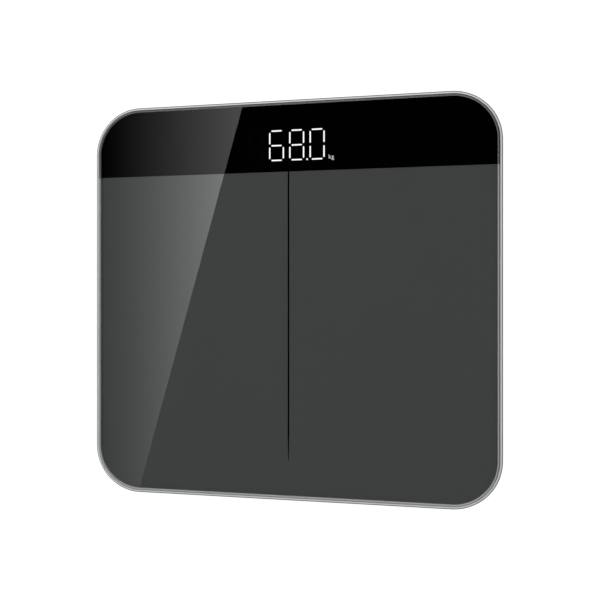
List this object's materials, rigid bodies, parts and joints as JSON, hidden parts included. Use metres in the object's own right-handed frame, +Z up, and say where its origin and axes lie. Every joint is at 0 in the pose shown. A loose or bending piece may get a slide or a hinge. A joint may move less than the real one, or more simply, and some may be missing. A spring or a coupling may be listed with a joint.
{
  "type": "digital bathroom scale",
  "caption": "Low rounded-square digital scale: dark glass platform in a silver rim, lit digits under a black band, round weighing feet and a battery door beneath.",
  "frame": {"origin": "on the ground under the middle of the scale, where the foot pads stand", "axes": "+Z up, out of the platform; +Y towards the display; +X to the right of someone reading it"},
  "size_m": [0.29, 0.28, 0.026],
  "materials": {
    "glass": "clear tempered glass, polished chamfer",
    "grey_print": "dark grey ink seen through glass",
    "black_print": "black ink seen through glass",
    "smoked_film": "smoked translucent film",
    "foam_tape": "closed-cell foam",
    "silver_rim": "satin silver paint on moulded ABS",
    "shell_plastic": "fine spark-eroded texture",
    "foot_plastic": "satin",
    "rubber_pad": "matt, moulded grooves",
    "cell_steel": "stamped, plated",
    "screw_steel": "zinc plated",
    "holder_plastic": "natural white, as moulded",
    "black_plastic": "satin black",
    "diffuser_film": "translucent white",
    "circuit_board": "green solder mask",
    "connector_plastic": "natural nylon",
    "nickel_contact": "nickel-plated spring steel",
    "battery_jacket": "plain printed jacket, no label",
    "grey_cable": "PVC jacket",
    "red_wire": "PVC insulation",
    "black_wire": "PVC insulation"
  },
  "bodies": {
    "base": {"glass_platform": "glass", "grey_field_print": "grey_print", "black_backing_print": "black_print", "display_window": "smoked_film", "glass_gasket": "foam_tape", "rim_frame": "silver_rim", "bottom_shell": "shell_plastic", "display_reflector": "black_plastic", "display_diffuser": "diffuser_film", "main_board": "circuit_board", "controller_chip": "black_plastic", "cell_connector": "connector_plastic", "battery_connector": "connector_plastic", "board_screw_1": "screw_steel", "board_screw_2": "screw_steel", "switch_body": "black_plastic", "battery_box": "shell_plastic", "battery_1": "battery_jacket", "battery_2": "battery_jacket", "battery_3": "battery_jacket", "terminal_positive": "nickel_contact", "terminal_negative": "nickel_contact", "bridge_contact_left": "nickel_contact", "bridge_contact_right": "nickel_contact", "battery_lead_red": "red_wire", "battery_lead_black": "black_wire", "load_cell_front_left": "cell_steel", "cell_holder_front_left": "holder_plastic", "cell_cable_front_left": "grey_cable", "load_cell_front_right": "cell_steel", "cell_holder_front_right": "holder_plastic", "cell_cable_front_right": "grey_cable", "load_cell_back_left": "cell_steel", "cell_holder_back_left": "holder_plastic", "cell_cable_back_left": "grey_cable", "load_cell_back_right": "cell_steel", "cell_holder_back_right": "holder_plastic", "cell_cable_back_right": "grey_cable", "holder_screw_1": "screw_steel", "holder_screw_2": "screw_steel", "holder_screw_3": "screw_steel", "holder_screw_4": "screw_steel", "holder_screw_5": "screw_steel", "holder_screw_6": "screw_steel", "holder_screw_7": "screw_steel", "holder_screw_8": "screw_steel"},
    "foot_front_left": {"foot_front_left": "foot_plastic", "foot_pad_front_left": "rubber_pad"},
    "foot_front_right": {"foot_front_right": "foot_plastic", "foot_pad_front_right": "rubber_pad"},
    "foot_back_left": {"foot_back_left": "foot_plastic", "foot_pad_back_left": "rubber_pad"},
    "foot_back_right": {"foot_back_right": "foot_plastic", "foot_pad_back_right": "rubber_pad"},
    "battery_door": {"battery_door": "shell_plastic", "door_latch": "shell_plastic"},
    "unit_button": {"unit_button": "shell_plastic", "switch_plunger": "connector_plastic"}
  },
  "joints": [
    {"name": "foot_press_front_left", "type": "slide", "parent": "base", "child": "foot_front_left", "axis": [0, 0, 1], "range_m": [0, 0.0005], "stiffness_N_per_m": 3000, "springref_m": -0.002, "deforming": ["load_cell_front_left"]},
    {"name": "foot_press_front_right", "type": "slide", "parent": "base", "child": "foot_front_right", "axis": [0, 0, 1], "range_m": [0, 0.0005], "stiffness_N_per_m": 3000, "springref_m": -0.002, "deforming": ["load_cell_front_right"]},
    {"name": "foot_press_back_left", "type": "slide", "parent": "base", "child": "foot_back_left", "axis": [0, 0, 1], "range_m": [0, 0.0005], "stiffness_N_per_m": 3000, "springref_m": -0.002, "deforming": ["load_cell_back_left"]},
    {"name": "foot_press_back_right", "type": "slide", "parent": "base", "child": "foot_back_right", "axis": [0, 0, 1], "range_m": [0, 0.0005], "stiffness_N_per_m": 3000, "springref_m": -0.002, "deforming": ["load_cell_back_right"]},
    {"name": "battery_door_hinge", "type": "hinge", "parent": "base", "child": "battery_door", "pos_m": [0, 0.01515, 0.00505], "axis": [-1, 0, 0], "range_deg": [0, 95], "deforming": ["door_latch"]},
    {"name": "unit_button_press", "type": "slide", "parent": "base", "child": "unit_button", "axis": [0, 0, 1], "range_m": [0, 0.0006], "stiffness_N_per_m": 2500}
  ]
}
